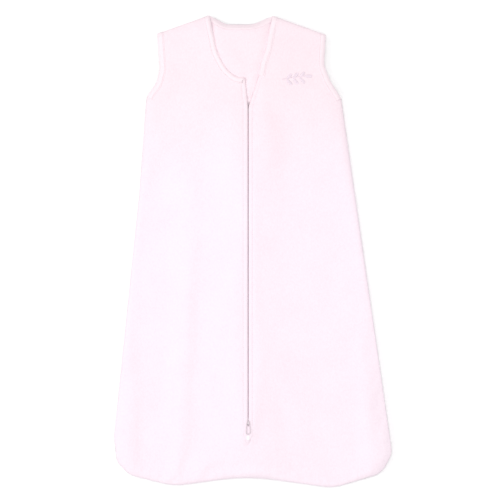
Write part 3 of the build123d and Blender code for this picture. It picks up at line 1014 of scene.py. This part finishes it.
class Look:
    """A material's node tree, with short ways to add what most materials here need."""

    def __init__(self, name, **fixed):
        """A new material, and the shader's sockets that are the same all over."""
        self.material = bpy.data.materials.new(name)
        self.material.use_nodes = True
        self.shader = self.material.node_tree.nodes["Principled BSDF"]
        self.place = self.add("ShaderNodeTexCoord").outputs["Object"]
        for socket, value in fixed.items():
            self.feed(self.shader.inputs[socket.replace("_", " ")], value)

    def feed(self, socket, value):
        """Joins an output to a socket, or sets the socket to a number or colour."""
        if hasattr(value, "links"):
            self.material.node_tree.links.new(value, socket)
        else:
            socket.default_value = (*value, 1.0) if socket.type == "RGBA" else value

    def add(self, kind, values=None, **settings):
        """A new node whose sockets have these values."""
        node = self.material.node_tree.nodes.new(kind)
        for name, value in settings.items():
            setattr(node, name, value)
        for socket, value in (values or {}).items():
            self.feed(node.inputs[socket], value)
        return node

    def noise(self, size, detail=2.0, roughness=0.5, vector=None, distortion=0.0):
        """Noise with features of a size in millimetres."""
        values = {"Scale": 1 / (size * MM), "Detail": detail, "Roughness": roughness}
        values |= {"Distortion": distortion, "Vector": vector or self.place}
        return self.add("ShaderNodeTexNoise", values).outputs["Fac"]

    def stretched(self, *scale):
        """The place, scaled along the axes."""
        return self.add("ShaderNodeMapping", {"Scale": scale, "Vector": self.place}).outputs["Vector"]

    def waves(self, size, vector, direction, distortion):
        """Bands with a pitch in millimetres."""
        values = {"Scale": WAVE_SCALE / (size * MM), "Detail": 1.0}
        values |= {"Distortion": distortion, "Vector": vector}
        return self.add("ShaderNodeTexWave", values, bands_direction=direction).outputs["Fac"]

    def ramp(self, factor, *stops):
        """A colour that follows a factor, between two stops (place, colour)."""
        node = self.add("ShaderNodeValToRGB", {"Fac": factor})
        for element, (at, value) in zip(node.color_ramp.elements, stops):
            element.position = at
            element.color = (*value, 1.0)
        return node.outputs["Color"]

    def mix(self, factor, a, b, blend="MIX"):
        values = {0: factor, 6: a, 7: b}
        return self.add("ShaderNodeMix", values, data_type="RGBA", blend_type=blend).outputs[2]

    def times(self, a, b):
        """One colour times another."""
        return self.mix(1.0, a, b, "MULTIPLY")

    def bump(self, height, distance, strength, under=None):
        """Relief of a height in millimetres, over another one."""
        values = {"Strength": strength, "Distance": distance * MM, "Height": height}
        node = self.add("ShaderNodeBump", values | ({"Normal": under} if under else {}))
        return node.outputs["Normal"]

    def done(self, colour, rough, relief=None):
        """Gives the material its colour, its roughness as (factor, low, high) and its relief."""
        values = dict(zip(("Value", "To Min", "To Max"), rough))
        roughness = self.add("ShaderNodeMapRange", values).outputs["Result"]
        self.feed(self.shader.inputs["Base Color"], colour)
        self.feed(self.shader.inputs["Roughness"], roughness)
        if relief:
            self.feed(self.shader.inputs["Normal"], relief)
        return self.material


def fleece_look():
    """Micro-fleece: short brushed nap in small clumps, a little uneven in colour, with painted shade that
    makes it darker towards the top.
    """
    sheen = {"Sheen_Weight": 0.35, "Sheen_Roughness": 0.45, "Sheen_Tint": (1, 0.97, 0.99)}
    look = Look("micro_fleece", Specular_IOR_Level=0.12, **sheen)
    nap = look.noise(0.55, 3.0, 0.65)
    clumps = look.noise(2.4, 3.0, 0.6, look.stretched(1.0, 0.72, 1.0), 0.6)
    cloudy = look.noise(46.0, 3.0, 0.55)
    # Painted shade: the fleece's colour darkens towards the top of the bag.
    along = look.add("ShaderNodeSeparateXYZ", {0: look.place}).outputs["Y"]
    values = {"From Min": TOP_SHADE_FROM * MM, "From Max": TOP_SHADE_TO * MM, "Value": along}
    up = look.add("ShaderNodeMapRange", values, interpolation_type="SMOOTHSTEP").outputs["Result"]
    base = look.mix(up, FLEECE_PINK, TOP_SHADE_AND_BINDING_PINK)
    fibre = look.ramp(nap, (0.25, (0.95, 0.93, 0.94)), (0.7, WHITE))
    tuft = look.ramp(clumps, (0.3, (0.962, 0.945, 0.955)), (0.65, WHITE))
    cloud = look.ramp(cloudy, (0.3, (0.985, 0.975, 0.98)), (0.7, WHITE))
    colour = look.times(look.times(look.times(base, fibre), tuft), cloud)
    relief = look.bump(nap, 0.22, 0.55, look.bump(clumps, 0.55, 0.5))
    return look.done(colour, (clumps, 0.86, 1.0), relief)


def binding_look():
    """Fine brushed jersey of the bindings, with a soft shine along its ribs."""
    look = Look("binding_jersey", Sheen_Weight=0.3, Sheen_Roughness=0.4, Specular_IOR_Level=0.18)
    nap = look.noise(0.5, 3.0, 0.6)
    ribs = look.noise(1.6, 2.0, 0.5, look.stretched(1.0, 1.0, 0.6), 0.4)
    fibre = look.ramp(nap, (0.25, shade(TOP_SHADE_AND_BINDING_PINK, 0.95)), (0.7, shade(TOP_SHADE_AND_BINDING_PINK, 1.015)))
    tone = look.ramp(ribs, (0.3, (0.965, 0.95, 0.955)), (0.7, WHITE))
    relief = look.bump(nap, 0.16, 0.5, look.bump(ribs, 0.25, 0.5))
    return look.done(look.times(fibre, tone), (ribs, 0.8, 0.95), relief)


def thread_look(name, base, shine):
    """Twisted thread: fine plies in its length, and a shine that follows them."""
    look = Look(name, Specular_IOR_Level=0.35 + shine * 0.3, Sheen_Weight=0.15)
    plies, worn = look.noise(0.28), look.noise(5.0)
    tone = look.ramp(plies, (0.3, shade(base, 0.88)), (0.7, shade(base, 1.04)))
    colour = look.times(tone, look.ramp(worn, (0.2, shade(WHITE, 0.95)), (0.7, WHITE)))
    dull = shine * 0.35
    return look.done(colour, (plies, 0.62 - dull, 0.85 - dull), look.bump(plies, 0.06, 0.7))


def tape_look():
    """Woven zip tape: a herringbone of fine ribs along its length."""
    look = Look("woven_tape", Specular_IOR_Level=0.25, Sheen_Weight=0.2)
    warp = look.waves(0.62, look.stretched(1, 0.35, 1), "X", 1.2)
    weft = look.waves(0.5, look.place, "Y", 0.6)
    weave = look.add("ShaderNodeMath", {0: warp, 1: weft}, operation="MULTIPLY").outputs[0]
    tone = look.ramp(weave, (0.1, (0.84, 0.62, 0.72)), (0.7, (0.95, 0.74, 0.83)))
    worn = look.ramp(look.noise(9.0, 3.0), (0.25, (0.94, 0.93, 0.94)), (0.75, WHITE))
    return look.done(look.times(tone, worn), (weave, 0.7, 0.9), look.bump(weave, 0.1, 0.6))


def coil_look():
    """Drawn nylon monofilament: half glossy, faintly see-through."""
    look = Look("nylon_coil", Subsurface_Weight=0.15, Subsurface_Scale=0.0006, Specular_IOR_Level=0.5)
    drawn, worn = look.noise(0.4), look.noise(6.0, 3.0, 0.6)
    tone = look.ramp(worn, (0.25, (0.96, 0.54, 0.70)), (0.75, (1.0, 0.62, 0.76)))
    return look.done(tone, (drawn, 0.28, 0.5), look.bump(drawn, 0.03, 0.4))


def plastic_look():
    """Moulded plastic of the retainer box, the pin and the stops, slightly scuffed."""
    look = Look("moulded_plastic", Specular_IOR_Level=0.45)
    grain, scuffs = look.noise(0.35), look.noise(1.6, 4.0, 0.65)
    tone = look.ramp(scuffs, (0.3, (0.33, 0.27, 0.30)), (0.7, (0.42, 0.35, 0.38)))
    return look.done(tone, (scuffs, 0.3, 0.6), look.bump(grain, 0.03, 0.5))


def metal_look():
    """Zinc under pale lacquer, with the paint a little thin along the edges that rub."""
    look = Look("lacquered_zinc", Coat_Weight=0.1, Coat_Roughness=0.35, Specular_IOR_Level=0.3)
    orange_peel, rubbed = look.noise(0.5, 2.0, 0.4), look.noise(2.2, 4.0, 0.7)
    edge = look.add("ShaderNodeNewGeometry").outputs["Pointiness"]
    worn = look.ramp(edge, (0.51, BLACK), (0.56, WHITE))
    bare = look.times(worn, look.ramp(rubbed, (0.45, BLACK), (0.62, WHITE)))
    paint = look.ramp(rubbed, (0.3, (0.60, 0.53, 0.57)), (0.7, (0.69, 0.62, 0.66)))
    look.feed(look.shader.inputs["Metallic"], bare)
    colour = look.mix(bare, paint, (0.52, 0.49, 0.49))
    return look.done(colour, (rubbed, 0.42, 0.6), look.bump(orange_peel, 0.03, 0.4))


def floor_look():
    """A seamless pale studio floor, with the faintest mottling."""
    look = Look("studio_floor", Specular_IOR_Level=0.05)
    mottle = look.noise(60.0, 3.0)
    tone = look.ramp(mottle, (0.3, (0.905, 0.905, 0.908)), (0.7, (0.915, 0.915, 0.917)))
    return look.done(tone, (mottle, 0.9, 1.0))


def piece(obj, slot, *nodes, bent=False):
    """Parents a new piece to the bag's body, or only bakes its transform when it is bent, and hides the CAD
    nodes that it stands for. Its slot is not used."""
    if bent:
        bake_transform(obj)
    else:
        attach(obj, "bag")
    if nodes:
        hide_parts(*nodes)
    return obj


def bound(name, bands, material):
    """A binding made of its runs."""
    return joined(name, [band(*shape, **options) for shape, options in bands], material)


fleece, jersey = fleece_look(), binding_look()
sewing = thread_look("sewing_thread", THREAD_PINK, 0.1)
shiny = thread_look("rayon_embroidery", SILK_PINK, 0.5)
white = thread_look("white_patch", PATCH_WHITE, 0.2)
tape, coil_nylon = tape_look(), coil_look()

front, corner = front_sheets(fleece)
piece(front, "fleece", "front_panel")
piece(corner, "fleece", "neck_corner", bent=True)
back = piece(back_sheet(fleece), "fleece", "back_panel")

*neck_fixed, neck_loose = neck_bands()
piece(bound("neck_trim", neck_fixed, jersey), "binding", "neck_binding")
piece(bound("corner_trim", [neck_loose], jersey), "binding", "neck_corner_binding", bent=True)
band_threads = band_stitches(neck_fixed)
left_arm = armhole_bands(TIP_L, UNDERARM_L, first=(TIP_L, NECK_L))
right_arm = armhole_bands(UNDERARM_R, TIP_R, last=(TIP_R, NECK_R))
for (_, word), bands in zip(SIDES, (left_arm, right_arm)):
    band_threads += band_stitches(bands)
    piece(bound(f"armhole_trim_{word}", bands, jersey), "binding", f"armhole_binding_{word}")
piece(joined("binding_stitches", band_threads, sewing), "seam_thread")
piece(joined("corner_trim_stitches", band_stitches([neck_loose]), sewing), "seam_thread", bent=True)

for line, (_, word) in zip(STITCH_LINES, SIDES):
    loose = inside(line, CORNER_AREA) & ((line - FOLD_FOOT) @ FOLD_OUT > -0.5)
    row = stitches(np.column_stack([line[~loose], front_z(line[~loose])]))
    piece(joined(f"zip_stitches_{word}", row, sewing), "seam_thread", f"topstitch_{word}")
    if loose.any():
        row = stitches(np.column_stack([line[loose], front_z(line[loose])]))
        piece(joined("corner_stitches", row, sewing), "seam_thread", "neck_corner_stitch", bent=True)

for side, word in SIDES:
    piece(joined(f"coil_{word}", [coil(side)], coil_nylon), "zip_coil", f"zip_coil_{word}")

piece(joined("sprig", sprig(), shiny), "embroidery", "chest_sprig")
piece(joined("end_patch", [end_tab()], white), "zip_tape", "zip_end_tab")

for name, first, last, skip in (
    ("shoulder_seam_left", NECK_L, TIP_L, 11),
    ("shoulder_seam_right", TIP_R, NECK_R, 11),
    ("side_seam_left", UNDERARM_L, (-192, -250), 13),
    ("side_seam_right", (194, -250), UNDERARM_R, 13),
    ("hem_seam", (-192, -252), (194, -252), 1),
):
    piece(seam(f"{name}_edge", sewing, first, last, skip), "seam_thread", name)


# ---- CAD nodes that stay, with better looks
def finish_node(node, material, bevel=0.0):
    """Gives a CAD node its material, and softens its edges."""
    obj = bpy.data.objects[node]
    obj.data.materials.clear()
    obj.data.materials.append(material)
    if bevel:
        soft = obj.modifiers.new("edges", "BEVEL")
        soft.width = bevel * MM
        soft.segments = 3
        soft.limit_method = "ANGLE"
        soft.angle_limit = math.radians(32)
        obj.modifiers.new("normals", "WEIGHTED_NORMAL")


plastic, metal = plastic_look(), metal_look()
for _, word in SIDES:
    finish_node(f"zip_tape_{word}", tape)
    finish_node(f"zip_stop_{word}", plastic, 0.25)
for node in ("zip_box", "zip_pin"):
    finish_node(node, plastic, 0.2)
finish_node("slider_body", metal, 0.22)
finish_node("pull_ring", metal, 0.12)

# ---- floor, lights and camera
CENTRE_X, VIEW_WIDTH = -3.5, 696.2
CAMERA_LENS, CAMERA_SENSOR = 100.0, 36.0


def light(name, energy, size, place):
    """A soft light, with its place in metres, that looks at the middle of the bag."""
    data = bpy.data.lights.new(name, "AREA")
    data.energy = energy
    data.size = size
    obj = bpy.data.objects.new(name, data)
    obj.location = place
    obj.rotation_euler = (Vector() - Vector(place)).to_track_quat("-Z", "Y").to_euler()
    bpy.context.scene.collection.objects.link(obj)


bpy.ops.mesh.primitive_grid_add(x_subdivisions=4, y_subdivisions=4, size=8, location=(0, 0, 0))
floor = bpy.context.object
floor.name = "floor"
floor.data.materials.append(floor_look())

light("overhead", 46.0, 2.0, (0.0, 0.2, 2.9))
light("key", 17.0, 0.9, (-2.3, -0.3, 1.9))

world = bpy.data.worlds.new("studio")
bpy.context.scene.world = world
world.use_nodes = True
background = world.node_tree.nodes["Background"]
background.inputs["Color"].default_value = (1.0, 1.0, 1.0, 1.0)
background.inputs["Strength"].default_value = 0.64
bpy.context.scene.view_settings.view_transform = "Standard"

camera_data = bpy.data.cameras.new("camera")
camera_data.lens = CAMERA_LENS
camera_data.sensor_width = CAMERA_SENSOR
camera = bpy.data.objects.new("camera", camera_data)
distance = VIEW_WIDTH * CAMERA_LENS / CAMERA_SENSOR
camera.location = (CENTRE_X * MM, 0, (distance + PANEL_Z) * MM)
bpy.context.scene.collection.objects.link(camera)
bpy.context.scene.camera = camera
